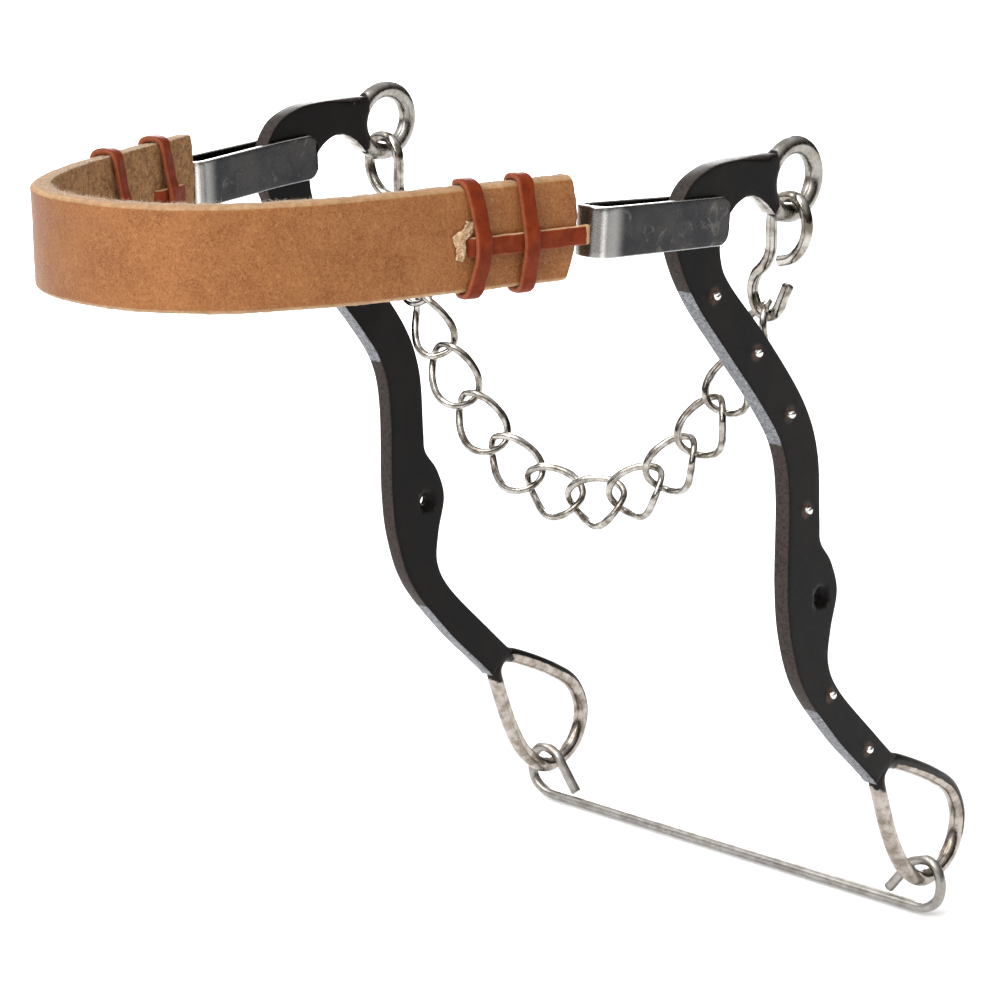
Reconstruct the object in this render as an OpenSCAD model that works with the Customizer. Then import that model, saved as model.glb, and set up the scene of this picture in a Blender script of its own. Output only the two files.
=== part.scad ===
// Bitless hackamore: two steel cheeks with eyes and rein rings, a laced leather noseband,
// a twelve-link curb chain on two hooks, and a wire spreader between the rein rings.
// Millimetres. Origin midway between the centres of the two cheek eyes.
// +X points to the right cheek, -Y to the front of the nose, +Z up.

/* [Cheeks] */
// Distance between the middles of the two shank bars
cheek_gap = 145; // [143:0.5:147]
// Thickness of each shank bar
bar_t = 4.8; // [4.4:0.1:5]
// Radius of the side hole through each shank bar
side_hole_r = 1.5; // [1.2:0.1:2]
// Radius of the countersink at each mouth of the side hole
sink_r = 3.4; // [3:0.1:4]
// Thickness of the rod that the cheek eye is bent from
eye_rod = 4.9; // [4.6:0.1:5.2]
// Thickness of the rod that the rein ring is bent from
ring_rod = 4.7; // [4.2:0.1:5]
// Radius of a silver pin
pin_r = 1.1; // [0.8:0.1:1.4]
// How far a silver pin stands out of the shank bar
pin_out = 1.6; // [1:0.1:2]

/* [Noseband] */
// Width of the noseband leather
strap_w = 25.4; // [24:0.2:27]
// Thickness of the noseband leather
strap_t = 5; // [4.6:0.1:5.2]
// Height of the steel loop that carries each end of the noseband
loop_h = 12.6; // [11:0.2:13]
// Thickness of the loop's steel strap
loop_t = 1.7; // [1.4:0.1:1.9]
// Width of the lace
lace_w = 4.8; // [4.2:0.1:5]
// Thickness of the lace
lace_t = 1.8; // [1.4:0.1:1.9]
// Upward tilt of the front of the noseband, in degrees
tilt = 0.6; // [0:0.2:3]
// Sideways lean of the noseband, higher on the right, in degrees
lean = 2.1; // [0:0.1:2.4]

/* [Chain and spreader] */
// Thickness of the curb hook's wire
hook_wire = 3.2; // [2.8:0.1:3.2]
// Thickness of the chain's wire
link_wire = 2.15; // [1.9:0.05:2.2]
// Outer width of a chain link
link_w = 15.6; // [14:0.1:16]
// Twist of a chain link from end to end, in degrees
link_twist = 78; // [70:2:90]
// Steepness of the chain's curve: its radius at the lowest link
chain_bend = 40.6; // [39:0.2:45]
// Thickness of the spreader's wire
spreader_wire = 3.1; // [2.6:0.1:3.2]

/* [Hidden] */
$fn = 48;

// Gap left between wires that hang in each other
play = 0.3;
bar_x = cheek_gap / 2;

// Side hole of each shank bar in [y, z]; the shank outlines below are measured from it
side_hole = [15, -116.3];
pin_places = [[-49.4, 91.3], [-31.2, 73.4], [-16.2, 54.2], [-7.5, 26.1], [6, -29.6], [24.6, -50.5]];
back_edge = [[-24.6, 108.6], [-31.4, 113.4], [-36.4, 114.7], [-42, 112.6], [-46.6, 107], [-46.9, 100.5],
    [-42.8, 93.1], [-25.7, 75.6], [-9.7, 56.3], [-2.9, 41], [-1.2, 22], [-0.4, 15.6], [4.7, 8.9],
    [7.8, 0], [5.3, -10.5], [4.7, -20], [10.2, -29.5], [25.2, -44.1], [39, -56.6]];
front_edge = [[29.6, -62.6], [23, -56.6], [8.5, -42.6], [-6.2, -25.6], [-12.7, -10.5], [-15.2, 5.5],
    [-15.6, 30.6], [-18.8, 45], [-28.1, 58.1], [-42.7, 74.3], [-56.8, 90.2], [-64.4, 103],
    [-65.4, 112], [-60.6, 120.4], [-52, 124.2], [-42, 125], [-24.6, 124.4]];
rein_ring_path = [[32.9, -62.5], [34.6, -59], [38.6, -58.3], [48.5, -62.4], [61.5, -69.2], [70.8, -76],
    [75.1, -86.2], [70.8, -96.5], [58.6, -100.3], [48, -93.6], [40.6, -82.4], [35, -69]];

// Cheek eye: half sizes of its middle line along Y and Z
eye_y = 10;
eye_z = 8.9;

// Curb hook in [x from the bar's middle, z]; its top hangs over the bottom of the cheek eye
hook_top = -eye_z + eye_rod / 2 + hook_wire / 2 + play;
hook_low = [-7.1, -37.2];
hook_path = [[-3.1, -21.9], [0.9, -20.6], [4.3, -17], [5.6, -12], [4.6, -7.6], [2.6, -5.1], [-0.3, hook_top],
    [-3.1, -5.4], [-5.3, -8.4], [-5.9, -12], [-5.9, -19], [-7.4, -22.9], [-10.4, -26.3], [-11.6, -30.4],
    [-10.3, -34.9], hook_low, [-3.6, -35.6], [-1.7, -31.9], [0, -27.9]];

// Chain: a catenary between the two hooks, six links to a side
links = 12;
// Turn of each link about its own length, from the left hook
link_turns = [-26, 0, 22, 22, 18, 14, 10, 6, 2, 0, 6, 25];
chain_half = bar_x + hook_low[0];
chain_top = hook_low[1] + hook_wire / 2 + play;
link_pitch = 2 * chain_bend * sinh(chain_half / chain_bend) / links;
chain_low = chain_top - chain_bend * (cosh(chain_half / chain_bend) - 1);

// Spreader in [x from the bar's middle, z], measured from the bottom of the rein ring's middle line
ring_low = [58.6, -100.3];
spreader_end = [[-6, -9.5], [0.5, -9.1], [4.8, -6.2], [6.1, -1.7], [5.2, 2.7], [2.4, 5.4],
    [-1, 5.5], [-4.4, 3.8], [-7, 0.4], [-10.6, -4.4], [-12.2, -6.4]];

// Noseband, in a frame whose origin is midway between the noses of the two steel loops
pivot = [0, -80, -3.6];
loop_drop = 1.25;
loop_rear_z = -5.9;
toe_in = 3;
loop_back = 49;
nose_half = 4.45;
bend_back = 34;
nose_x = bar_x - bend_back * tan(toe_in);
slot_in = 0.5;
slot_w = 2.6;
slot_h = lace_w + 0.8;
loop_corner = 3.5;
run_offset = (strap_t + lace_t) / 2;
lace_z = -1.8;
strap_end = [67.6, -2.3];
end_angle = 17.6;
end_arc = 37;
strap_front = [0, -94.7];
front_reach = 40.6;
side_reach = 64.3;
strap_steps = 28;
// Where the lace goes through the strap, in steps back from each end: right, then left
slit_steps = [7, 5];
// Millimetres back from the end of the strap to the rear and the front wrap
wraps_right = [14.2, 27.5];
wraps_left = [16, 41];

function sinh(x) = (exp(x) - exp(-x)) / 2;
function cosh(x) = (exp(x) + exp(-x)) / 2;
function asinh(x) = ln(x + sqrt(x * x + 1));
function unit(v) = v / norm(v);

// One span of a smooth curve from b to c, with neighbours a and d
function span(a, b, c, d, t) = 0.5 * (2 * b + (c - a) * t + (2 * a - 5 * b + 4 * c - d) * t * t
    + (3 * b - a - 3 * c + d) * t * t * t);
function open_curve(p, n) = [for (i = [0:len(p) - 2], k = [0:n - 1])
    span(p[max(i - 1, 0)], p[i], p[i + 1], p[min(i + 2, len(p) - 1)], k / n), p[len(p) - 1]];
function ring_curve(p, n) = let (m = len(p)) [for (i = [0:m - 1], k = [0:n - 1])
    span(p[(i + m - 1) % m], p[i], p[(i + 1) % m], p[(i + 2) % m], k / n)];

// Half of the strap's middle line, from the front of the nose to the right end
function strap_half(t) = let (
    b = strap_front + [front_reach, 0],
    c = strap_end - side_reach * [sin(end_angle), cos(end_angle)])
    pow(1 - t, 3) * strap_front + 3 * pow(1 - t, 2) * t * b + 3 * (1 - t) * t * t * c + pow(t, 3) * strap_end;
strap_right = [for (i = [0:strap_steps]) strap_half(1 - pow(1 - i / strap_steps, 1.3))];
strap_line = concat([for (i = [strap_steps:-1:1]) [-strap_right[i][0], strap_right[i][1]]], strap_right);

// Points of a line moved sideways, outwards for the strap
function heading(p, i) = unit(p[min(i + 1, len(p) - 1)] - p[max(i - 1, 0)]);
function beside(p, d) = [for (i = [0:len(p) - 1]) let (h = heading(p, i)) p[i] + d * [h[1], -h[0]]];
function reversed(p) = [for (i = [len(p) - 1:-1:0]) p[i]];

// A strip of even thickness along a line, between two sideways distances
module strip(line, d0, d1, h) {
    linear_extrude(height = h, center = true)
        polygon(concat(beside(line, d0), reversed(beside(line, d1))));
}

// A round wire along a path; "across" is a direction that the path never follows, one for each point
module wire(path, across, r, sides, closed = false) {
    n = len(path);
    rings = closed ? n : n - 1;
    function at(i) = path[(i + n) % n];
    function along(i) = closed ? unit(at(i + 1) - at(i - 1))
        : unit(path[min(i + 1, n - 1)] - path[max(i - 1, 0)]);
    points = [for (i = [0:n - 1]) let (t = along(i), u = unit(cross(t, across[i])), v = cross(t, u))
        for (k = [0:sides - 1]) path[i] + r * (u * cos(360 * k / sides) + v * sin(360 * k / sides))];
    walls = [for (i = [0:rings - 1], k = [0:sides - 1])
        let (a = i * sides, b = ((i + 1) % n) * sides, j = (k + 1) % sides)
        each [[a + k, b + j, a + j], [a + k, b + k, b + j]]];
    ends = closed ? [] : [[for (k = [0:sides - 1]) k], [for (k = [sides - 1:-1:0]) (n - 1) * sides + k]];
    polyhedron(points = points, faces = concat(walls, ends), convexity = 6);
}

module wire_in_yz(path, r, sides, closed) {
    wire([for (p = path) [0, p[0], p[1]]], [for (p = path) [1, 0, 0]], r, sides, closed);
}

module wire_in_xz(path, r, sides) {
    wire([for (p = path) [p[0], 0, p[1]]], [for (p = path) [0, 1, 0]], r, sides);
}

// side is 1 for the right cheek and -1 for the left one, which is its mirror image
module on_side(side) {
    if (side > 0) children();
    else mirror([1, 0, 0]) children();
}

module on_bar(side) {
    on_side(side) translate([bar_x, side_hole[0], side_hole[1]]) children();
}

module shank_bar(side) {
    color([0.13, 0.12, 0.12]) on_bar(side) difference() {
        rotate([90, 0, 90]) linear_extrude(height = bar_t, center = true)
            polygon(concat(open_curve(back_edge, 3), open_curve(front_edge, 3)));
        rotate([0, 90, 0]) cylinder(r = side_hole_r, h = bar_t + 1, center = true);
        for (m = [-1, 1]) rotate([0, m * 90, 0]) translate([0, 0, bar_t / 2 - 1.4])
            cylinder(r1 = side_hole_r, r2 = sink_r + 0.3, h = 1.62);
        for (p = pin_places) translate([bar_t / 2 - 2, p[0], p[1]]) rotate([0, 90, 0])
            cylinder(r = pin_r, h = 3);
    }
}

module cheek_eye(side) {
    color([0.66, 0.64, 0.61]) on_side(side) translate([bar_x, 0, 0])
        wire_in_yz([for (i = [0:35]) [eye_y * cos(i * 10), eye_z * sin(i * 10)]], eye_rod / 2, 12, true);
}

module rein_ring(side) {
    color([0.5, 0.48, 0.46]) on_bar(side)
        wire_in_yz(ring_curve(rein_ring_path, 5), ring_rod / 2, 12, true);
}

// Domed pins, set in blind holes in the outer face of the bar
module silver_pins(side) {
    color([0.8, 0.8, 0.8]) on_bar(side) for (p = pin_places) translate([bar_t / 2 - 2, p[0], p[1]])
        rotate([0, 90, 0]) {
            cylinder(r = pin_r, h = 2 + pin_out - 0.6);
            translate([0, 0, 2 + pin_out - 0.6]) cylinder(r1 = pin_r, r2 = pin_r / 2, h = 0.6);
        }
}

// Places a piece that is drawn in the noseband's own frame
module on_noseband() {
    translate(pivot) rotate([-tilt, -lean, 0]) children();
}

// Middle line of a loop's steel strap: down the outer leg, round the nose and back up the inner leg
function corner(c, a0, a1) = [for (i = [0:5]) let (a = a0 + (a1 - a0) * i / 5)
    c + loop_corner * [cos(a), sin(a)]];
module noseband_loop(side) {
    nose = [nose_x, 0];
    n = [cos(toe_in), -sin(toe_in)];
    d = [sin(toe_in), cos(toe_in)];
    outer = nose + (nose_half - loop_corner) * n + loop_corner * d;
    inner = nose - (nose_half - loop_corner) * n + loop_corner * d;
    leg = (bar_t + loop_t) / 2 + 0.1;
    line = concat([[bar_x + leg, loop_back], [bar_x + leg, bend_back]],
        corner(outer, -toe_in, -90 - toe_in), corner(inner, -90 - toe_in, -180 - toe_in),
        [[bar_x - leg, bend_back], [bar_x - leg, loop_back]]);
    nose_z = pivot[2] - loop_drop + side * bar_x * sin(lean);
    rise = asin((loop_rear_z - nose_z) / loop_back);
    color([0.25, 0.24, 0.24]) translate([0, pivot[1], nose_z]) rotate([rise, 0, 0])
        on_side(side) difference() {
            strip(line, -loop_t / 2, loop_t / 2, loop_h);
            translate([nose_x + slot_in, 0, lace_z + loop_drop]) rotate([0, 0, -toe_in])
                cube([slot_w, 5, slot_h], center = true);
            // rounded rear corners
            for (m = [-1, 1]) translate([bar_x, loop_back - loop_corner, m * (loop_h / 2 - loop_corner)])
                difference() {
                    translate([0, 5, m * 5]) cube([30, 10, 10], center = true);
                    rotate([0, 90, 0]) cylinder(r = loop_corner, h = 32, center = true);
                }
        }
}

// Part of the strap's middle line near the right end, between two step counts from that end
function end_line(from, to) = [for (i = [strap_steps - from:strap_steps - to]) strap_right[i]];

// The cut in the leather that the lace comes out of
function slit_step(side) = side > 0 ? slit_steps[0] : slit_steps[1];
module lace_slit(side) {
    k = slit_step(side);
    on_side(side) translate([0, 0, lace_z]) strip(end_line(k, k - 1), -strap_t, strap_t, lace_w);
}

// What the bowed cut across an end of the strap takes off its corners
module end_cut(side) {
    on_side(side) translate(concat(strap_end, 0)) rotate([0, 0, -end_angle]) difference() {
        cube([3 * strap_t, 10, 2 * strap_w], center = true);
        translate([0, -end_arc, 0]) rotate([0, 90, 0])
            cylinder(r = end_arc, h = 4 * strap_t, center = true, $fn = 180);
    }
}

module noseband_strap() {
    color([0.69, 0.43, 0.25]) on_noseband() difference() {
        strip(strap_line, -strap_t / 2, strap_t / 2, strap_w);
        for (side = [-1, 1]) {
            lace_slit(side);
            end_cut(side);
        }
    }
}

// A lace tied once round the strap, standing over the lace run on each face
module lace_wrap(side, place) {
    h = strap_w / 2;
    function hoop(t) = [[strap_t / 2 + t, h + t / 2], [strap_t / 2, h + t], [-strap_t / 2, h + t],
        [-strap_t / 2 - t, h + t / 2], [-strap_t / 2 - lace_t - t, lace_z + lace_w / 2 + t / 2],
        [-strap_t / 2 - lace_t - t, lace_z - lace_w / 2 - t / 2], [-strap_t / 2 - t, -h - t / 2],
        [-strap_t / 2, -h - t], [strap_t / 2, -h - t], [strap_t / 2 + t, -h - t / 2],
        [strap_t / 2 + lace_t + t, lace_z - lace_w / 2 - t / 2],
        [strap_t / 2 + lace_t + t, lace_z + lace_w / 2 + t / 2]];
    middle = point_back(place);
    turn = toe_at(place);
    color([0.52, 0.2, 0.12]) on_noseband() on_side(side) translate([middle[0], middle[1], 0])
        rotate([0, 0, -turn]) rotate([90, 0, 0]) linear_extrude(height = lace_w, center = true) difference() {
            polygon(hoop(lace_t));
            polygon(hoop(0.05));
        }
}

// Point of the strap's middle line, and its direction, at a distance back from its end
function run_length(i) = i >= strap_steps ? 0 : run_length(i + 1) + norm(strap_right[i + 1] - strap_right[i]);
function step_back(place, i) = run_length(i) > place ? i : step_back(place, i - 1);
function point_back(place) = let (i = step_back(place, strap_steps - 1))
    strap_right[i] + unit(strap_right[i + 1] - strap_right[i]) * (run_length(i) - place);
function toe_at(place) = let (i = step_back(place, strap_steps - 1), h = strap_right[i + 1] - strap_right[i])
    atan2(h[0], h[1]);

// The lace that ties the end of the strap to its loop: tucked in on the inner face, through the slit,
// along the outer face, through the slot in the nose and into a knot behind it
module lace_run(side) {
    d = [sin(toe_in), cos(toe_in)];
    k = slit_step(side);
    slot = [nose_x + slot_in, 0];
    outer_line = concat(beside(end_line(k, 0), run_offset), [slot, slot + 2.6 * d]);
    color([0.5, 0.19, 0.12]) on_noseband() on_side(side) translate([0, 0, lace_z]) {
        strip(outer_line, -lace_t / 2, lace_t / 2, lace_w);
        strip(end_line(k, k - 1), -strap_t / 2 - lace_t, strap_t / 2 + lace_t, lace_w);
        strip(beside(end_line(k, 2), -run_offset), -lace_t / 2, lace_t / 2, lace_w);
        translate([slot[0], 4, 0]) rotate([0, 0, -toe_in]) cube([4.2, 4, 6.4], center = true);
    }
}

module curb_hook(side) {
    color([0.72, 0.71, 0.68]) on_side(side) translate([bar_x, 0, 0])
        wire_in_xz(open_curve(hook_path, 3), hook_wire / 2, 8);
}

// Where two links meet, k links from the left hook
function chain_point(k) = let (s = (k - links / 2) * link_pitch / chain_bend)
    [chain_bend * asinh(s), 0, chain_low + chain_bend * (sqrt(1 + s * s) - 1)];

// A twisted oval link, k links from the left hook
module chain_link(k) {
    a = chain_point(k - 1);
    b = chain_point(k);
    mid = (a + b) / 2;
    t = unit(b - a);
    flat = [-t[2], 0, t[0]];
    out = [0, 1, 0];
    half_l = (link_pitch + play + link_wire) / 2;
    half_w = (link_w - link_wire) / 2;
    angles = [for (i = [0:23]) i * 15];
    function bow(c) = sign(c) * pow(abs(c), 0.84);
    function angle(x) = link_turns[k - 1] + link_twist / 2 * x / half_l;
    function turned(x, v) = flat * (v * cos(angle(x))) + out * (v * sin(angle(x)));
    path = [for (q = angles) let (x = half_l * bow(cos(q))) mid + x * t + turned(x, half_w * bow(sin(q)))];
    across = [for (q = angles) let (w = angle(half_l * bow(cos(q)))) out * cos(w) - flat * sin(w)];
    color([0.74, 0.73, 0.7]) wire(path, across, link_wire / 2, 8, true);
}

module spreader_bar() {
    right = [for (p = open_curve(spreader_end, 3)) [bar_x + p[0], p[1]]];
    left = [for (p = reversed(right)) [-p[0], p[1]]];
    color([0.62, 0.61, 0.59]) translate([0, side_hole[0] + ring_low[0], side_hole[1] + ring_low[1]])
        wire_in_xz(concat(left, right), spreader_wire / 2, 8);
}

shank_bar(1);  // right_shank_bar
shank_bar(-1);  // left_shank_bar
cheek_eye(1);  // right_cheek_eye
cheek_eye(-1);  // left_cheek_eye
rein_ring(1);  // right_rein_ring
rein_ring(-1);  // left_rein_ring
noseband_loop(1);  // right_noseband_loop
noseband_loop(-1);  // left_noseband_loop
silver_pins(1);  // right_silver_pins
silver_pins(-1);  // left_silver_pins
noseband_strap();
lace_wrap(1, wraps_right[0]);  // right_rear_wrap
lace_wrap(1, wraps_right[1]);  // right_front_wrap
lace_wrap(-1, wraps_left[0]);  // left_rear_wrap
lace_wrap(-1, wraps_left[1]);  // left_front_wrap
lace_run(1);  // right_lace_run
lace_run(-1);  // left_lace_run
curb_hook(1);  // right_curb_hook
curb_hook(-1);  // left_curb_hook
chain_link(1);  // chain_link_01
chain_link(2);  // chain_link_02
chain_link(3);  // chain_link_03
chain_link(4);  // chain_link_04
chain_link(5);  // chain_link_05
chain_link(6);  // chain_link_06
chain_link(7);  // chain_link_07
chain_link(8);  // chain_link_08
chain_link(9);  // chain_link_09
chain_link(10);  // chain_link_10
chain_link(11);  // chain_link_11
chain_link(12);  // chain_link_12
spreader_bar();
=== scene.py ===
"""Looks of the bitless hackamore: every piece is made here in millimetres, in the CAD part's frame."""
import math
import random

import bmesh
import bpy
import numpy as np
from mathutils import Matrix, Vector, geometry, noise


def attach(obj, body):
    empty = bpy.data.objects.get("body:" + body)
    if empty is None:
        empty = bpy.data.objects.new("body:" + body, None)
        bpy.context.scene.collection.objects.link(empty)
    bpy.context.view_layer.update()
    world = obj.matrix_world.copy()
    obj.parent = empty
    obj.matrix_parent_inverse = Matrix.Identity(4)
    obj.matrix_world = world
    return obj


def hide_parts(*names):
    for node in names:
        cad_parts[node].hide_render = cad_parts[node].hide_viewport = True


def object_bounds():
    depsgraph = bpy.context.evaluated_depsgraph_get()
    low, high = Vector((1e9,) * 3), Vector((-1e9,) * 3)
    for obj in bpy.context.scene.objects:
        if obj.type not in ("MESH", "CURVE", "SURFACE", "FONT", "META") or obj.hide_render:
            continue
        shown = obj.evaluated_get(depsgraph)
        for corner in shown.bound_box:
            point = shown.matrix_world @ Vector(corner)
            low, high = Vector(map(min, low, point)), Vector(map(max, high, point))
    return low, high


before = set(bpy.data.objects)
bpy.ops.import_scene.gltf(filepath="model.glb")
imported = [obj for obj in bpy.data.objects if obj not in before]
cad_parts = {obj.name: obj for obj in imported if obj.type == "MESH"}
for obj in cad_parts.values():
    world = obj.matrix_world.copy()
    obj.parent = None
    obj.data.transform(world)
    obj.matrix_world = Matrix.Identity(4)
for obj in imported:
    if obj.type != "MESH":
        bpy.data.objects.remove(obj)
cad_low, cad_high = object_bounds()
# both generators are seeded, so that every run gives the same object
random.seed(7)
noise.seed_set(7)
MM = 0.001

# ---------------------------------------------------------------- sizes, as in the part's source
bar_x = 72.5
bar_t = 4.8
hole_r, sink_r = 1.5, 3.4
side_hole = np.array([15.0, -116.3])
eye_rod, ring_rod = 4.9, 4.7
eye_y, eye_z = 10.0, 8.9
pin_r, pin_out = 1.1, 1.6
strap_w, strap_t = 25.4, 5.0
loop_h, loop_t = 12.6, 1.7
lace_w, lace_t = 4.8, 1.8
tilt, lean = math.radians(0.6), math.radians(2.1)
hook_wire, link_wire, spreader_wire = 3.2, 2.15, 3.1
play = 0.3
neck_end_y, neck_end_z = 8.6, 7.5
sink_clear = 3.3
pin_places = [[-49.4, 91.3], [-31.2, 73.4], [-16.2, 54.2], [-7.5, 26.1], [6, -29.6], [24.6, -50.5]]
back_edge = [[-24.6, 108.6], [-31.4, 113.4], [-36.4, 114.7], [-42, 112.6], [-46.6, 107], [-46.9, 100.5],
             [-42.8, 93.1], [-25.7, 75.6], [-9.7, 56.3], [-2.9, 41], [-1.2, 22], [-0.4, 15.6], [4.7, 8.9],
             [7.8, 0], [5.3, -10.5], [4.7, -20], [10.2, -29.5], [25.2, -44.1], [39, -56.6]]
front_edge = [[29.6, -62.6], [23, -56.6], [8.5, -42.6], [-6.2, -25.6], [-12.7, -10.5], [-15.2, 5.5],
              [-15.6, 30.6], [-18.8, 45], [-28.1, 58.1], [-42.7, 74.3], [-56.8, 90.2], [-64.4, 103],
              [-65.4, 112], [-60.6, 120.4], [-52, 124.2], [-42, 125], [-24.6, 124.4]]
rein_ring_path = [[32.9, -62.5], [34.6, -59], [38.6, -58.3], [48.5, -62.4], [61.5, -69.2], [70.8, -76],
                  [75.1, -86.2], [70.8, -96.5], [58.6, -100.3], [48, -93.6], [40.6, -82.4], [35, -69]]
hook_top = -eye_z + eye_rod / 2 + hook_wire / 2 + play
hook_low = [-7.1, -37.2]
hook_path = [[-3.1, -21.9], [0.9, -20.6], [4.3, -17], [5.6, -12], [4.6, -7.6], [2.6, -5.1], [-0.3, hook_top],
             [-3.1, -5.4], [-5.3, -8.4], [-5.9, -12], [-5.9, -19], [-7.4, -22.9], [-10.4, -26.3],
             [-11.6, -30.4], [-10.3, -34.9], hook_low, [-3.6, -35.6], [-1.7, -31.9], [0, -27.9]]
links = 12
link_turns = [-26, 0, 22, 22, 18, 14, 10, 6, 2, 0, 6, 25]
link_w, link_twist, chain_bend = 15.6, 78, 40.6
chain_half = bar_x + hook_low[0]
chain_top = hook_low[1] + hook_wire / 2 + play
link_pitch = 2 * chain_bend * math.sinh(chain_half / chain_bend) / links
chain_low = chain_top - chain_bend * (math.cosh(chain_half / chain_bend) - 1)
ring_low = [58.6, -100.3]
spreader_end = [[-6, -9.5], [0.5, -9.1], [4.8, -6.2], [6.1, -1.7], [5.2, 2.7], [2.4, 5.4],
                [-1, 5.5], [-4.4, 3.8], [-7, 0.4], [-10.6, -4.4], [-12.2, -6.4]]
pivot = np.array([0, -80, -3.6])
loop_drop, loop_rear_z, loop_back = 1.25, -5.9, 49
toe_in, nose_half, bend_back = math.radians(3), 4.45, 34
nose_x = bar_x - bend_back * math.tan(toe_in)
slot_in, loop_corner = 0.5, 3.5
lace_z = -1.8
strap_end = np.array([67.6, -2.3])
end_angle, end_arc = math.radians(17.6), 37
strap_front = np.array([0, -94.7])
front_reach, side_reach = 40.6, 64.3
slit_back = {1: 31.0, -1: 22.5}
wraps = {1: {"rear": 14.2, "front": 27.5}, -1: {"rear": 16, "front": 41}}
SIDES = {"right": 1, "left": -1}


# ---------------------------------------------------------------- curves
def span(a, b, c, d, t):
    return 0.5 * (2 * b + (c - a) * t + (2 * a - 5 * b + 4 * c - d) * t * t
                  + (3 * b - a - 3 * c + d) * t ** 3)


def open_curve(points, n):
    p = [np.array(q, float) for q in points]
    last = len(p) - 1
    return np.array([span(p[max(i - 1, 0)], p[i], p[i + 1], p[min(i + 2, last)], k / n)
                     for i in range(last) for k in range(n)] + [p[-1]])


def ring_curve(points, n):
    p = [np.array(q, float) for q in points]
    m = len(p)
    return np.array([span(p[i - 1], p[i], p[(i + 1) % m], p[(i + 2) % m], k / n)
                     for i in range(m) for k in range(n)])


def unit(v):
    return v / np.linalg.norm(v, axis=-1, keepdims=True)


def tangents(path, closed=False):
    if closed:
        return unit(np.roll(path, -1, 0) - np.roll(path, 1, 0))
    return unit(np.gradient(path, axis=0))


def lengths(path):
    return np.concatenate([[0], np.cumsum(np.linalg.norm(np.diff(path, axis=0), axis=1))])


def even(path, step, closed=False):
    """The path again, with points a fixed distance apart."""
    line = np.vstack([path, path[:1]]) if closed else path
    s = lengths(line)
    n = max(4, round(s[-1] / step))
    at = np.linspace(0, s[-1], n + 1)[:n if closed else None]
    return np.stack([np.interp(at, s, line[:, k]) for k in range(line.shape[1])], 1)


def smoothstep(a, b, x):
    t = np.clip((x - a) / (b - a), 0, 1)
    return t * t * (3 - 2 * t)


# ---------------------------------------------------------------- meshes
def circle(r, sides):
    a = np.arange(sides) * 2 * math.pi / sides
    return r * np.stack([np.cos(a), np.sin(a)], 1)


def rounded_box(w, h, r, corner=4, across=1, along=1):
    """A rectangle with rounded corners: width along u, height along w, with its sides cut in steps."""
    out = []
    hw, hh = w / 2 - r, h / 2 - r
    corners = [(hw, hh, 0), (-hw, hh, 90), (-hw, -hh, 180), (hw, -hh, 270)]
    for i, (cx, cy, a0) in enumerate(corners):
        for k in range(corner + 1):
            a = math.radians(a0 + 90 * k / corner)
            out.append((cx + r * math.cos(a), cy + r * math.sin(a)))
        nx, ny, _ = corners[(i + 1) % 4]
        a = math.radians(a0 + 90)
        start = np.array(out[-1])
        stop = np.array([nx + r * math.cos(a), ny + r * math.sin(a)])
        steps = across if i % 2 == 0 else along
        for k in range(1, steps):
            out.append(tuple(start + (stop - start) * k / steps))
    return np.array(out)


def sweep(path, across, section, closed=False, end_cut=0.25):
    """Rings of a section along a path. The section is (u, w): u lies square to the path and to "across"."""
    path = np.asarray(path, float)
    t = tangents(path, closed)
    ref = np.broadcast_to(np.asarray(across, float), path.shape)
    u = unit(np.cross(t, ref))
    w = np.cross(u, t)
    sections = section if callable(section) else (lambda i: section)
    rings = [path[i] + sections(i)[:, :1] * u[i] + sections(i)[:, 1:] * w[i] for i in range(len(path))]
    m = len(rings[0])
    if not closed and end_cut:
        for at, sign in ((0, -1), (len(rings) - 1, 1)):
            middle = rings[at].mean(0)
            size = np.abs(rings[at] - middle).max()
            cap = middle + (rings[at] - middle) * (1 - end_cut / size)
            body = rings[at] - sign * t[0 if at == 0 else -1] * end_cut
            if at == 0:
                rings = [cap, (cap + rings[0]) / 2 + (rings[0] - cap) * 0.2, body] + rings[1:]
            else:
                rings = rings[:-1] + [body, (cap + rings[-1]) / 2 + (rings[-1] - cap) * 0.2, cap]
    n = len(rings)
    verts = np.vstack(rings)
    faces = [(i * m + k, i * m + (k + 1) % m, (i + 1) % n * m + (k + 1) % m, (i + 1) % n * m + k)
             for i in range(n if closed else n - 1) for k in range(m)]
    if not closed:
        faces += [tuple(range(m)), tuple(range((n - 1) * m, n * m))]
    return verts, faces


def joined(*parts):
    verts, faces, base = [], [], 0
    for v, f in parts:
        verts.append(v)
        faces += [tuple(i + base for i in face) for face in f]
        base += len(v)
    return np.vstack(verts), faces


def rough(verts, size, depth, seed=0):
    """Moves points by smooth noise: size in millimetres, depth in millimetres."""
    shift = Vector((seed * 17.3, seed * 5.1, seed * 9.7))
    return np.array([v + depth * np.array(noise.noise_vector(Vector(v) / size + shift)) for v in verts])


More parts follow.
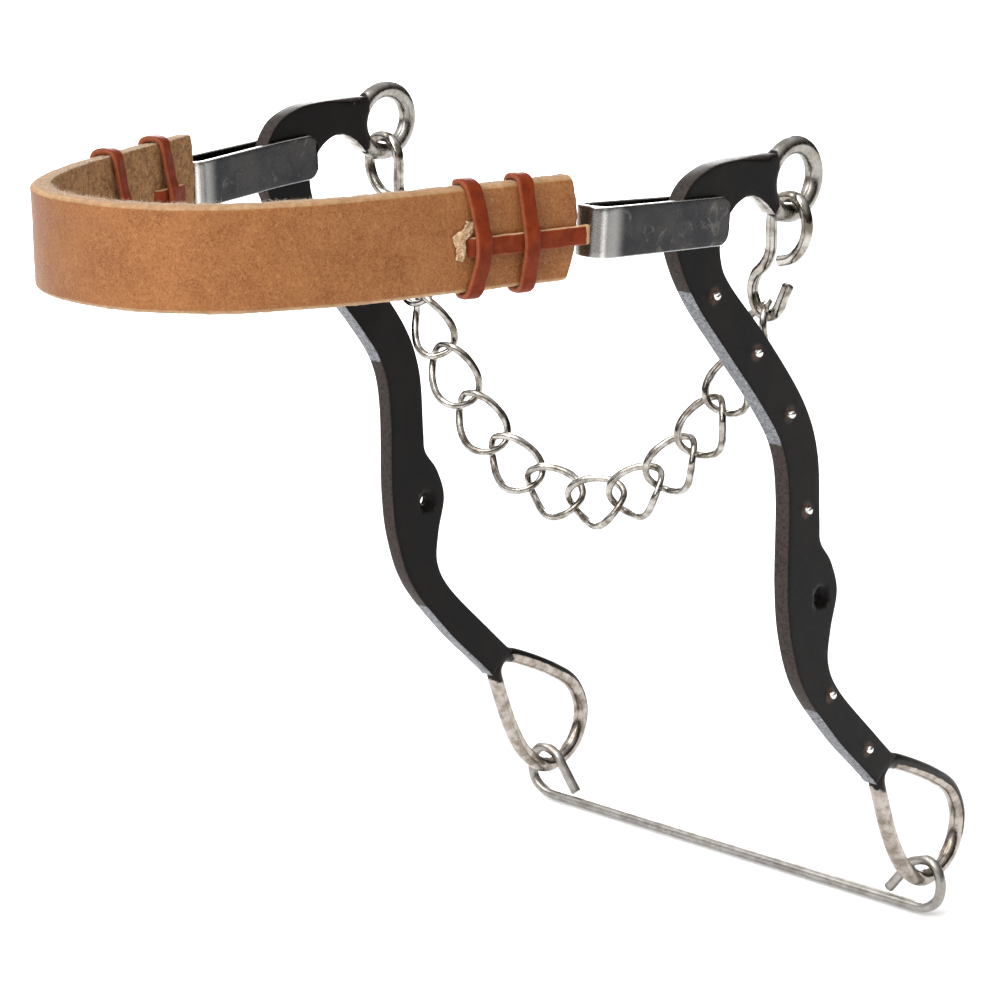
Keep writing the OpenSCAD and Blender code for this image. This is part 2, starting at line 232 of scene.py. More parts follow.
def piece(name, mesh, body, nodes, material, sharp=35, colours=None, weld=False):
    """A finished piece from points in millimetres. colours gives each point's (r, g, b) for the material."""
    verts, faces = mesh
    data = bpy.data.meshes.new(name)
    data.from_pydata((np.asarray(verts) * MM).tolist(), [], faces)
    if colours is not None:
        paint = data.color_attributes.new("zones", "FLOAT_COLOR", "POINT")
        paint.data.foreach_set("color", np.column_stack([colours, np.ones(len(verts))]).ravel())
    bm = bmesh.new()
    bm.from_mesh(data)
    if weld:
        bmesh.ops.remove_doubles(bm, verts=bm.verts, dist=1e-6)
    bmesh.ops.recalc_face_normals(bm, faces=bm.faces)
    bm.to_mesh(data)
    bm.free()
    data.polygons.foreach_set("use_smooth", [True] * len(data.polygons))
    data.set_sharp_from_angle(angle=math.radians(sharp))
    obj = bpy.data.objects.new(name, data)
    bpy.context.scene.collection.objects.link(obj)
    data.materials.append(material)
    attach(obj, body)
    if nodes:
        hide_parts(*nodes)
    return obj


def turned(side, verts):
    return verts * np.array([side, 1, 1])


# ---------------------------------------------------------------- materials
class Shader:
    """A material built from nodes. Scales are in features per millimetre."""

    def __init__(self, name, **values):
        self.mat = bpy.data.materials.new(name)
        self.mat.use_nodes = True
        self.tree = self.mat.node_tree
        self.bsdf = self.tree.nodes["Principled BSDF"]
        self.coords = self.node("ShaderNodeTexCoord").outputs["Object"]
        for key, value in values.items():
            self.put(self.bsdf.inputs[key.replace("_", " ")], value)

    def node(self, kind, **settings):
        made = self.tree.nodes.new(kind)
        for key, value in settings.items():
            setattr(made, key, value)
        return made

    def put(self, socket, value):
        if isinstance(value, bpy.types.NodeSocket):
            self.tree.links.new(value, socket)
        elif isinstance(value, (tuple, list)):
            socket.default_value = (*value, 1) if len(value) == 3 and socket.type == "RGBA" else value
        else:
            socket.default_value = value

    def noise(self, per_mm, detail=4, roughness=0.55, distortion=0):
        made = self.node("ShaderNodeTexNoise")
        self.put(made.inputs["Vector"], self.coords)
        for key, value in (("Scale", per_mm * 1000), ("Detail", detail), ("Roughness", roughness),
                           ("Distortion", distortion)):
            made.inputs[key].default_value = value
        return made.outputs["Fac"]

    def cells(self, per_mm, feature, vector=None):
        made = self.node("ShaderNodeTexVoronoi", feature=feature)
        self.put(made.inputs["Vector"], vector or self.coords)
        made.inputs["Scale"].default_value = per_mm * 1000
        return made.outputs["Distance"]

    def math(self, operation, a, b):
        made = self.node("ShaderNodeMath", operation=operation)
        for socket, value in zip(made.inputs, (a, b)):
            self.put(socket, value)
        return made.outputs[0]

    def level(self, value, low, high, to_low=0.0, to_high=1.0):
        """A smooth step in value from low to high, clamped."""
        made = self.node("ShaderNodeMapRange", clamp=True, interpolation_type="SMOOTHSTEP")
        for key, v in (("Value", value), ("From Min", low), ("From Max", high), ("To Min", to_low),
                       ("To Max", to_high)):
            self.put(made.inputs[key], v)
        return made.outputs[0]

    def mix(self, factor, a, b):
        made = self.node("ShaderNodeMix", data_type="RGBA")
        self.put(made.inputs[0], factor)
        self.put(made.inputs[6], a)
        self.put(made.inputs[7], b)
        return made.outputs[2]

    def zones(self):
        """The red, green and blue of the painted points."""
        made = self.node("ShaderNodeVertexColor", layer_name="zones")
        parts = self.node("ShaderNodeSeparateColor")
        self.put(parts.inputs[0], made.outputs["Color"])
        return parts.outputs[0], parts.outputs[1], parts.outputs[2]

    def bump(self, height, distance_mm, strength=1.0):
        made = self.node("ShaderNodeBump")
        made.inputs["Strength"].default_value = strength
        made.inputs["Distance"].default_value = distance_mm * MM
        self.put(made.inputs["Height"], height)
        return made.outputs[0]

    def finish(self, **links):
        for key, value in links.items():
            self.put(self.bsdf.inputs[key.replace("_", " ")], value)
        return self.mat


def black_steel():
    """Blackened bar. Zones: red is polished steel, green ground steel, blue a bare edge (near 1, a burnt ring)."""
    s = Shader("black_steel", Specular_IOR_Level=0.07)
    polished, ground, burnt = s.zones()
    blotch = s.noise(0.05, 5, 0.6)
    grain = s.noise(1.3, 5, 0.7)
    specks = s.noise(2.6, 2, 0.5)
    black = s.mix(s.level(blotch, 0.35, 0.7), (0.0042, 0.0036, 0.0035), (0.0078, 0.0060, 0.0052))
    black = s.mix(s.level(grain, 0.56, 0.78, 0, 0.6), black, (0.019, 0.014, 0.012))
    rag = s.math("ADD", s.math("MULTIPLY", s.noise(0.6, 4, 0.6), 0.9), -0.45)
    ground_mask = s.level(s.math("ADD", ground, s.math("MULTIPLY", rag, 0.5)), 0.38, 0.56)
    scratches = s.noise(1.5, 4, 0.75, 0.8)
    ground_colour = s.mix(s.level(scratches, 0.35, 0.66), (0.085, 0.087, 0.093), (0.31, 0.32, 0.34))
    polish_mask = s.level(s.math("ADD", polished, s.math("MULTIPLY", rag, 0.7)), 0.35, 0.72)
    polish_colour = s.mix(s.level(s.noise(0.35, 3), 0.35, 0.65), (0.31, 0.28, 0.255), (0.50, 0.48, 0.455))
    burnt_mask = s.math("MULTIPLY", burnt, s.level(s.noise(1.1, 4, 0.7), 0.3, 0.6, 0.35, 1))
    scorched = s.mix(s.level(burnt, 0.5, 0.8), (0.088, 0.068, 0.060), (0.105, 0.052, 0.022))
    colour = s.mix(burnt_mask, black, scorched)
    colour = s.mix(ground_mask, colour, ground_colour)
    colour = s.mix(polish_mask, colour, polish_colour)
    metal = s.math("MAXIMUM", s.math("MULTIPLY", ground_mask, 0.8), polish_mask)
    rough_black = s.level(grain, 0.3, 0.75, 0.30, 0.52)
    roughness = s.math("ADD", s.math("MULTIPLY", ground_mask, 0.12), rough_black)
    roughness = s.math("SUBTRACT", roughness, s.math("MULTIPLY", polish_mask, 0.16))
    height = s.math("ADD", s.math("MULTIPLY", specks, 0.35), grain)
    height = s.math("ADD", height, s.math("MULTIPLY", s.math("MULTIPLY", scratches, ground_mask), 2.2))
    return s.finish(Base_Color=colour, Metallic=metal, Roughness=roughness,
                    Normal=s.bump(height, 0.06, 0.6))


def bare_steel(name, light, dark, smooth=0.14, worn=0.3, zoned=False, depth=0.5):
    """Polished rod or wire with drawing marks and light and dark patches that are painted reflections. Zones: red
    blackens it, green is a weld.
    """
    s = Shader(name, Metallic=1.0)
    cloud = s.noise(0.3, 4, 0.6)
    fine = s.noise(1.4, 5, 0.65, 0.4)
    # painted reflection: cloud noise mixes the dark and light colours into patches that stand in for reflections
    colour = s.mix(s.level(cloud, 0.32, 0.68), dark, light)
    colour = s.mix(s.level(fine, 0.58, 0.75, 0, 0.35), colour, tuple(0.45 * c for c in dark))
    roughness = s.level(fine, 0.25, 0.8, smooth, worn)
    if zoned:
        blackened, welded, _ = s.zones()
        rag = s.math("MULTIPLY", s.math("SUBTRACT", s.noise(0.5, 4, 0.6), 0.5), 0.9)
        mask = s.level(s.math("ADD", blackened, rag), 0.4, 0.62)
        colour = s.mix(mask, colour, (0.02, 0.017, 0.0155))
        colour = s.mix(s.math("MULTIPLY", welded, 0.45), colour, (0.10, 0.085, 0.07))
        roughness = s.math("ADD", roughness, s.math("MULTIPLY", mask, 0.16))
        roughness = s.math("ADD", roughness, s.math("MULTIPLY", welded, 0.2))
    height = s.math("ADD", s.math("MULTIPLY", fine, 0.5), s.math("MULTIPLY", s.noise(0.45, 3), 0.8))
    return s.finish(Base_Color=colour, Roughness=roughness, Normal=s.bump(height, 0.07, depth))


def loop_steel():
    """Dark polished strip. Zones: red is a painted highlight along the edges, green painted highlight bands round
    the nose.
    """
    s = Shader("dark_polished_steel", Metallic=1.0)
    cloud = s.noise(0.11, 4, 0.55)
    specks = s.noise(1.9, 3, 0.7)
    colour = s.mix(s.level(cloud, 0.34, 0.66), (0.026, 0.027, 0.030), (0.045, 0.043, 0.042))
    colour = s.mix(s.level(specks, 0.6, 0.74, 0, 0.5), colour, (0.13, 0.127, 0.125))
    colour = s.mix(s.level(s.noise(0.16, 5, 0.7, 1.2), 0.56, 0.68, 0, 0.6), colour, (0.125, 0.118, 0.105))
    edge, nose, _ = s.zones()
    # painted highlight bands round the nose
    colour = s.mix(nose, colour, (0.78, 0.76, 0.73))
    # painted highlight along the top and bottom edges
    colour = s.mix(s.math("MULTIPLY", edge, 0.85), colour, (0.62, 0.61, 0.6))
    return s.finish(Base_Color=colour, Roughness=s.level(specks, 0.3, 0.75, 0.17, 0.34),
                    Normal=s.bump(s.math("ADD", specks, s.noise(0.3, 3)), 0.05, 0.5))


def strap_leather():
    """Oiled harness leather. Zones: red is the cut edge, green the skived bevel, blue the flesh side."""
    s = Shader("harness_leather")
    raw, bevel, flesh = s.zones()
    mottle = s.noise(0.09, 5, 0.6, 0.3)
    cloud = s.noise(0.42, 5, 0.65, 0.5)
    pebble = s.cells(1.5, "SMOOTH_F1")
    pores = s.noise(1.9, 4, 0.72, 0.3)
    veins = s.noise(1.15, 6, 0.74, 1.6)
    grain = s.mix(s.level(mottle, 0.3, 0.7), (0.220, 0.075, 0.0205), (0.300, 0.115, 0.035))
    grain = s.mix(s.level(cloud, 0.42, 0.72, 0, 0.5), grain, (0.37, 0.152, 0.050))
    grain = s.mix(s.level(veins, 0.50, 0.62, 0, 0.6), grain, (0.45, 0.212, 0.080))
    grain = s.mix(s.level(pores, 0.52, 0.64, 0, 0.7), grain, (0.155, 0.046, 0.012))
    # light lines between cells, with the cells' places bent by noise
    wander = s.node("ShaderNodeTexNoise")
    s.put(wander.inputs["Vector"], s.coords)
    wander.inputs["Scale"].default_value = 900
    bent = s.node("ShaderNodeVectorMath", operation="MULTIPLY_ADD")
    for socket, value in zip(bent.inputs, (wander.outputs["Color"], (0.0013, 0.0013, 0.0013), s.coords)):
        s.put(socket, value)
    crackle = s.cells(0.8, "DISTANCE_TO_EDGE", bent.outputs[0])
    grain = s.mix(s.level(crackle, 0.0, 0.13, 0.24, 0), grain, (0.44, 0.21, 0.08))
    # painted shade: the grain darkens towards the strap's left side
    places = s.node("ShaderNodeSeparateXYZ")
    s.put(places.inputs[0], s.coords)
    grain = s.mix(s.level(places.outputs[0], -0.068, 0.03, 0.85, 0), grain, (0.150, 0.060, 0.021))
    fibres = s.noise(1.6, 6, 0.8, 1.6)
    clumps = s.noise(0.5, 5, 0.75, 0.8)
    flesh_colour = s.mix(s.level(clumps, 0.3, 0.7), (0.135, 0.062, 0.025), (0.42, 0.215, 0.088))
    flesh_colour = s.mix(s.level(fibres, 0.5, 0.68, 0, 0.75), flesh_colour, (0.74, 0.47, 0.25))
    flesh_colour = s.mix(s.level(fibres, 0.44, 0.3, 0, 0.8), flesh_colour, (0.075, 0.036, 0.018))
    raw_colour = s.mix(s.level(clumps, 0.35, 0.65), (0.33, 0.215, 0.135), (0.47, 0.33, 0.215))
    raw_colour = s.mix(s.level(pores, 0.48, 0.62, 0, 0.8), raw_colour, (0.23, 0.135, 0.08))
    bevel_colour = s.mix(s.level(cloud, 0.3, 0.7), (0.31, 0.168, 0.078), (0.45, 0.275, 0.14))
    colour = s.mix(bevel, grain, bevel_colour)
    fray = s.math("MULTIPLY", s.math("SUBTRACT", fibres, 0.5), 0.6)
    for zone, zone_colour in ((raw, raw_colour), (flesh, flesh_colour)):
        colour = s.mix(s.level(s.math("ADD", zone, fray), 0.4, 0.6), colour, zone_colour)
    soft = s.math("MAXIMUM", raw, flesh)
    roughness = s.math("ADD", s.level(pores, 0.3, 0.7, 0.36, 0.5), s.math("MULTIPLY", soft, 0.45))
    smooth_height = s.math("ADD", pebble, s.math("MULTIPLY", veins, 0.8))
    fuzzy_height = s.math("MULTIPLY", s.math("ADD", fibres, clumps), 3.2)
    height = s.math("ADD", s.math("MULTIPLY", smooth_height, s.math("SUBTRACT", 1.0, soft)),
                    s.math("MULTIPLY", fuzzy_height, soft))
    return s.finish(Base_Color=colour, Roughness=roughness, Normal=s.bump(height, 0.16, 0.55),
                    Specular_IOR_Level=0.22)


def lace_leather():
    """Waxed red-brown lace. Zones: red is the cut edge, green the frayed or pale part."""
    s = Shader("lace_leather", Specular_IOR_Level=0.12)
    edge, pale, _ = s.zones()
    cloud = s.noise(0.3, 5, 0.6, 0.4)
    creases = s.noise(0.8, 5, 0.7, 1.1)
    pores = s.noise(2.4, 3, 0.7)
    colour = s.mix(s.level(cloud, 0.3, 0.7), (0.140, 0.0185, 0.0042), (0.212, 0.033, 0.0075))
    colour = s.mix(s.level(creases, 0.55, 0.72, 0, 0.5), colour, (0.27, 0.054, 0.014))
    colour = s.mix(s.level(pores, 0.58, 0.7, 0, 0.5), colour, (0.080, 0.014, 0.006))
    colour = s.mix(s.math("MULTIPLY", edge, s.level(pores, 0.3, 0.6, 0.05, 0.28)), colour, (0.50, 0.22, 0.12))
    ragged = s.math("ADD", pale, s.math("MULTIPLY", s.math("SUBTRACT", creases, 0.5), 0.9))
    colour = s.mix(s.level(ragged, 0.4, 0.62), colour, (0.58, 0.36, 0.20))
    height = s.math("ADD", creases, s.math("MULTIPLY", pores, 0.5))
    return s.finish(Base_Color=colour, Roughness=s.level(pores, 0.3, 0.75, 0.34, 0.58),
                    Normal=s.bump(height, 0.10, 0.5))


def fibre_look():
    """Pale loose fibres."""
    s = Shader("leather_fibre", Roughness=0.9)
    return s.finish(Base_Color=s.mix(s.noise(0.7, 3), (0.42, 0.29, 0.18), (0.86, 0.78, 0.68)))


def torn_look():
    """The pale inside of torn leather."""
    s = Shader("torn_leather", Roughness=0.95, Specular_IOR_Level=0.1)
    fuzz = s.noise(1.8, 6, 0.8, 1.2)
    colour = s.mix(s.level(fuzz, 0.36, 0.62), (0.36, 0.19, 0.085), (0.80, 0.60, 0.38))
    return s.finish(Base_Color=colour, Normal=s.bump(fuzz, 0.3, 0.8))


BLACK = black_steel()
# the light and dark colours of these steels are the two ends of their painted reflection patches
EYE = bare_steel("eye_steel", (0.38, 0.36, 0.335), (0.23, 0.21, 0.185), 0.16, 0.34, zoned=True)
RING = bare_steel("ring_steel", (0.44, 0.40, 0.36), (0.20, 0.165, 0.135), 0.13, 0.28, zoned=True)
LOOP = loop_steel()
BRIGHT = bare_steel("bright_steel", (0.52, 0.495, 0.46), (0.15, 0.125, 0.10), 0.09, 0.25, zoned=True, depth=0.6)
SATIN = bare_steel("satin_steel", (0.40, 0.38, 0.355), (0.25, 0.23, 0.21), 0.27, 0.42, depth=0.35)
SILVER = bare_steel("silver", (0.86, 0.85, 0.83), (0.62, 0.60, 0.57), 0.10, 0.22, depth=0.6)
LEATHER = strap_leather()
LACE = lace_leather()
FIBRE = fibre_look()
TORN = torn_look()


# ---------------------------------------------------------------- shank bars
def inside(points, outline):
    """Which points lie inside a closed outline, by the even-odd rule."""
    hit = np.zeros(len(points), bool)
    for (x0, y0), (x1, y1) in zip(outline, np.roll(outline, -1, 0)):
        crosses = (y0 > points[:, 1]) != (y1 > points[:, 1])
        with np.errstate(divide="ignore", invalid="ignore"):
            at = (x1 - x0) * (points[:, 1] - y0) / (y1 - y0) + x0
        hit ^= crosses & (points[:, 0] < at)
    return hit


def shank_bar(side):
    """The flat bar: its rounded rim, its two flat faces and the countersunk hole, and the paint for its points."""
    back, front = open_curve(back_edge, 10), open_curve(front_edge, 10)
    a = np.radians(np.arange(128, 233, 6))
    neck_end = np.column_stack([neck_end_y * np.cos(a), neck_end_z * np.sin(a)]) - side_hole
    outline = even(np.vstack([back, front, neck_end]), 0.8, closed=True)
    t = tangents(outline, closed=True)
    t = unit(np.roll(t, 1, 0) + t + np.roll(t, -1, 0))
    inward = np.stack([t[:, 1], -t[:, 0]], 1)
    if not inside(outline[:1] + 0.3 * inward[:1], outline)[0]:
        inward = -inward
    place = outline + side_hole
    near_front = open_curve(front_edge, 60)
    is_front = np.min(np.linalg.norm(outline[:, None] - near_front[None], axis=2), 1) < 0.5
    # edges get rounder towards the eye and the rein ring, and stay crisp at the hidden ends
    to_eye = smoothstep(-26, -14, place[:, 0]) * smoothstep(-30, -8, place[:, 1])
    to_ring = smoothstep(-45, -58, outline[:, 1])
    corners = (back_edge[0], back_edge[-1], front_edge[0], front_edge[-1])
    hidden = np.min([np.linalg.norm(outline - corner, axis=1) for corner in corners], axis=0)
    r = 0.5 + (1.3 * to_eye + 0.7 * to_ring) * smoothstep(0.5, 3.5, hidden)
    steps = [(1 - math.cos(a), math.sin(a)) for a in np.linspace(math.pi / 2, 0, 6)]
    rings = [(outline + inward * (r * c)[:, None], bar_t / 2 - r + r * sn) for c, sn in steps]
    rings.append((outline, np.zeros(len(outline))))
    rings += [(p, -x) for p, x in rings[-2::-1]]
    m, n = len(outline), len(rings)
    verts = [np.column_stack([x, p]) for p, x in rings]
    faces = [(i * m + k, i * m + (k + 1) % m, (i + 1) * m + (k + 1) % m, (i + 1) * m + k)
             for i in range(n - 1) for k in range(m)]
    rim = np.vstack(verts)
    # flat faces, with a hole and enough inner points for the colours
    flat = rings[0][0]
    sides = 40
    hole = circle(sink_r, sides)
    lo, hi = outline.min(0), outline.max(0)
    step = 1.5
    grid = np.array([[x, y] for x in np.arange(lo[0], hi[0], step) for y in np.arange(lo[1], hi[1], step)])
    for p in pin_places:
        grid = grid[np.linalg.norm(grid - p, axis=1) > sink_clear]
        grid = np.vstack([grid, *(circle(radius, 14) + p for radius in (1.3, 2.0, 2.8))])
    gap = np.min(np.linalg.norm(grid[:, None] - flat[None], axis=2), 1)
    grid = grid[inside(grid, flat) & (gap > 0.75) & (np.linalg.norm(grid, axis=1) > sink_r + 0.7)]
    points = np.vstack([flat, hole, grid])
    edges = [(k, (k + 1) % m) for k in range(m)] + [(m + k, m + (k + 1) % sides) for k in range(sides)]
    got, _, tris, _, _, _ = geometry.delaunay_2d_cdt([Vector(p) for p in points], edges, [], 1, 1e-5)
    got = np.array([list(p) for p in got])
    middles = np.array([got[list(f)].mean(0) for f in tris])
    keep = inside(middles, flat) & (np.linalg.norm(middles, axis=1) > sink_r * 0.99)
    tris = [tuple(f) for f, k in zip(tris, keep) if k]
    faces_flat = [(np.column_stack([np.full(len(got), sign * bar_t / 2), got]), tris) for sign in (1, -1)]
    wall = [(sink_r, 2.4), (3.2, 2.3), (2.6, 1.85), (1.75, 1.2), (hole_r, 0.95)]
    wall += [(a, -b) for a, b in wall[::-1]]
    tube = (np.vstack([np.column_stack([np.full(sides, x), circle(radius, sides)]) for radius, x in wall]),
            [(i * sides + k, i * sides + (k + 1) % sides, (i + 1) * sides + (k + 1) % sides,
              (i + 1) * sides + k) for i in range(len(wall) - 1) for k in range(sides)])
    verts, faces = joined((rim, faces), *faces_flat, tube)
    # paint
    yz = verts[:, 1:] + side_hole
    colours = np.zeros((len(verts), 3))
    on_rim = np.zeros(len(verts))
    on_rim[:len(rim)] = np.tile(is_front, n)
    outer = np.zeros(len(verts))
    for i in range(n):
        outer[i * m:(i + 1) * m] = 1 if 3 <= i <= n - 4 else (0.42 if i in (2, n - 3) else 0)
    z = yz[:, 1]
    upper = smoothstep(-21.5, -24, z) * smoothstep(-72, -68, z)
    lower = smoothstep(-147, -152, z)
    colours[:, 1] = on_rim * outer * np.maximum(upper, lower)
    near_eye = smoothstep(-12, -5.5, yz[:, 0]) * smoothstep(-30, -10, z)
    under = np.zeros(len(verts))
    band = smoothstep(-24, -15, yz[:, 0]) * smoothstep(-12, -5, z) * (z < 0)
    under[:len(rim)] = band[:len(rim)] * outer[:len(rim)]
    top = np.zeros(len(verts))
    top[:len(rim)] = (0.35 * smoothstep(-28, -14, yz[:, 0]) * (z > 4))[:len(rim)]
    colours[:, 0] = np.clip(np.maximum(np.maximum(0.6 * near_eye, under), top), 0, 1)
    colours[:, 2] = 0.5 * on_rim * outer
    for p in pin_places:
        far = np.linalg.norm(verts[:, 1:] - np.array(p), axis=1)
        colours[:, 2] = np.maximum(colours[:, 2], smoothstep(3.0, 1.2, far) * (verts[:, 0] > 2))
    return (turned(side, verts + [bar_x, *side_hole]), faces), colours


def lathe(profile, sides):
    """A turned shape along X, from (radius, x) pairs."""
    rings = [np.column_stack([np.full(sides, x), circle(max(r, 1e-4), sides)]) for r, x in profile]
    faces = [(i * sides + k, i * sides + (k + 1) % sides, (i + 1) * sides + (k + 1) % sides,
              (i + 1) * sides + k) for i in range(len(rings) - 1) for k in range(sides)]
    faces += [tuple(range(sides)), tuple(range((len(rings) - 1) * sides, len(rings) * sides))]
    return np.vstack(rings), faces


def silver_pins(side):
    dome = [(pin_r, -0.5), (pin_r + 0.12, 0.0), (pin_r + 0.14, 0.25), (pin_r, 0.6), (pin_r * 0.97, 0.95),
            (pin_r * 0.82, 1.28), (pin_r * 0.55, 1.5), (pin_r * 0.25, 1.59), (0.05, pin_out)]
    made = []
    for k, p in enumerate(pin_places):
        v, f = lathe(dome, 20)
        v = rough(v, 1.1, 0.12, seed=k + 3)
        made.append((v + [bar_x + bar_t / 2, p[0] + side_hole[0], p[1] + side_hole[1]], f))
    v, f = joined(*made)
    return turned(side, v), f


def cheek_eye(side):
    a = np.linspace(0, 2 * math.pi, 120, endpoint=False)
    path = np.column_stack([np.full(120, bar_x), eye_y * np.cos(a), eye_z * np.sin(a)])
    v, f = sweep(path, [1, 0, 0], circle(eye_rod / 2, 28), closed=True)
    # the rod blends into the blackened neck at its front
    near_neck = smoothstep(-5.5, -10.5, v[:, 1])
    colours = np.column_stack([np.clip(1.05 * near_neck, 0, 1), np.zeros(len(v)), np.zeros(len(v))])
    return (turned(side, v), f), colours


def rein_ring(side):
    p = even(ring_curve(rein_ring_path, 12), 0.9, closed=True)
    path = np.column_stack([np.full(len(p), bar_x), p + side_hole])
    v, f = sweep(path, [1, 0, 0], circle(ring_rod / 2, 28), closed=True)
    centre = np.array([0, 56 + side_hole[0], -80 + side_hole[1]])
    path_each = np.repeat(path, 28, axis=0)
    facing = unit(v - path_each)
    outward = np.sum(facing[:, 1:] * unit(path_each[:, 1:] - centre[1:]), axis=1)
    upper = smoothstep(-5, 12, v[:, 1] - centre[1] + (v[:, 2] - centre[2]) * 1.2)
    black = smoothstep(-0.25, 0.35, outward + 0.18 * facing[:, 0]) * upper
    weld = np.linalg.norm(v[:, 1:] - (side_hole + [34.5, -60.5]), axis=1)
    black = np.maximum(black, smoothstep(8, 3, weld))
    colours = np.column_stack([black, np.zeros(len(v)), np.zeros(len(v))])
    return (turned(side, v), f), colours


# ---------------------------------------------------------------- noseband loops
def arc(centre, a0, a1):
    a = np.linspace(a0, a1, 14)
    return np.array(centre) + loop_corner * np.stack([np.cos(a), np.sin(a)], 1)


def noseband_loop(side):
    nose = np.array([nose_x, 0])
    n = np.array([math.cos(toe_in), -math.sin(toe_in)])
    d = np.array([math.sin(toe_in), math.cos(toe_in)])
    outer = nose + (nose_half - loop_corner) * n + loop_corner * d
    inner = nose - (nose_half - loop_corner) * n + loop_corner * d
    leg = (bar_t + loop_t) / 2 + 0.1
    q = math.pi / 2
    line = np.vstack([[[bar_x + leg, loop_back], [bar_x + leg, bend_back]], arc(outer, -toe_in, -q - toe_in),
                      arc(inner, -q - toe_in, -2 * q - toe_in),
                      [[bar_x - leg, bend_back], [bar_x - leg, loop_back]]])
    s = lengths(line)
    ends = np.array([0, 0.12, 0.4, 0.8, 1.3, 1.9, 2.6, 3.5])
    at = np.unique(np.concatenate([ends, s[-1] - ends, np.linspace(3.5, s[-1] - 3.5, 130)]))
    path = np.stack([np.interp(at, s, line[:, 0]), np.interp(at, s, line[:, 1]), np.zeros(len(at))], 1)
    back = np.minimum(at, s[-1] - at)
    # the ends of the legs are rounded with the same radius as the nose
    inset = loop_corner - np.minimum(back, loop_corner)
    half = loop_h / 2 - loop_corner + np.sqrt(np.maximum(loop_corner ** 2 - inset ** 2, 0))
    base = rounded_box(loop_t, loop_h, 0.45, corner=4, across=1, along=10)

    def section(i):
        q = base.copy()
        q[:, 1] *= half[i] / (loop_h / 2)
        return q

    v, f = sweep(path, [0, 0, 1], section, end_cut=0.3)
    count = len(v) // len(base)
    # painted highlight along the top and bottom edges of the strip
    edge = smoothstep(loop_h / 2 - 0.45, loop_h / 2 - 0.1, np.abs(v[:, 2]))
    edge = edge * smoothstep(0.3, 0.75, np.abs(np.tile(base[:, 0], count)))
    # painted highlight bands round the two corners of the nose, on a lighter nose
    band_at = v[:, 1]
    nose_highlights = 0.30 * smoothstep(8, 3.4, band_at) * smoothstep(-1.3, -0.6, band_at)
    for place, width in ((0.9, 0.35), (3.0, 0.28)):
        nose_highlights = np.maximum(nose_highlights, np.exp(-((band_at - place) / width) ** 2))
    colours = np.column_stack([edge, nose_highlights, np.zeros(len(v))])
    nose_z = pivot[2] - loop_drop + side * bar_x * math.sin(lean)
    rise = math.asin((loop_rear_z - nose_z) / loop_back)
    v = turned(side, v)
    v = v @ np.array([[1, 0, 0], [0, math.cos(rise), math.sin(rise)], [0, -math.sin(rise), math.cos(rise)]])
    return (v + [0, pivot[1], nose_z], f), colours


# ---------------------------------------------------------------- noseband
def on_noseband(v):
    ca, sa, cb, sb = math.cos(-tilt), math.sin(-tilt), math.cos(-lean), math.sin(-lean)
    turn_x = np.array([[1, 0, 0], [0, ca, -sa], [0, sa, ca]])
    turn_y = np.array([[cb, 0, sb], [0, 1, 0], [-sb, 0, cb]])
    return v @ (turn_y @ turn_x).T + pivot


def strap_half():
    b = strap_front + [front_reach, 0]
    c = strap_end - side_reach * np.array([math.sin(end_angle), math.cos(end_angle)])
    t = np.linspace(0, 1, 600)[:, None]
    return (1 - t) ** 3 * strap_front + 3 * (1 - t) ** 2 * t * b + 3 * (1 - t) * t * t * c + t ** 3 * strap_end


STRAP_RIGHT = strap_half()
STRAP_LINE = np.vstack([(STRAP_RIGHT * [-1, 1])[:0:-1], STRAP_RIGHT])
STRAP_S = lengths(STRAP_LINE)


def strap_at(back):
    """Point, direction and outward direction at a distance back from the strap's right end."""
    s = STRAP_S[-1] - np.asarray(back, float)
    p = np.stack([np.interp(s, STRAP_S, STRAP_LINE[:, k]) for k in (0, 1)], -1)
    q = np.stack([np.interp(s + 0.5, STRAP_S, STRAP_LINE[:, k]) for k in (0, 1)], -1)
    o = np.stack([np.interp(s - 0.5, STRAP_S, STRAP_LINE[:, k]) for k in (0, 1)], -1)
    d = unit(q - o)
    return p, d, np.stack([d[..., 1], -d[..., 0]], -1)


def strap_section():
    """Points (outward, up) round the strap's section, from the bottom of the grain side, with skived edges."""
    h, t = strap_w / 2, strap_t / 2
    grain = [(t, z) for z in np.linspace(-h + 1.15, h - 1.15, 34)]
    bevel = [(t - 0.1, h - 0.82), (t - 0.42, h - 0.4), (t - 0.95, h - 0.1)]
    top = [(x, h) for x in (t - 1.4, t - 2.1, t - 2.8, t - 3.5, t - 4.2)]
    corner = [(-t + 0.35, h - 0.08), (-t + 0.08, h - 0.35)]
    flesh = [(-t, z) for z in np.linspace(h - 0.8, -h + 0.8, 32)]
    low = [(x, -z) for x, z in corner[::-1] + top[::-1] + bevel[::-1]]
    return np.array(grain + bevel + top + corner + flesh + low)


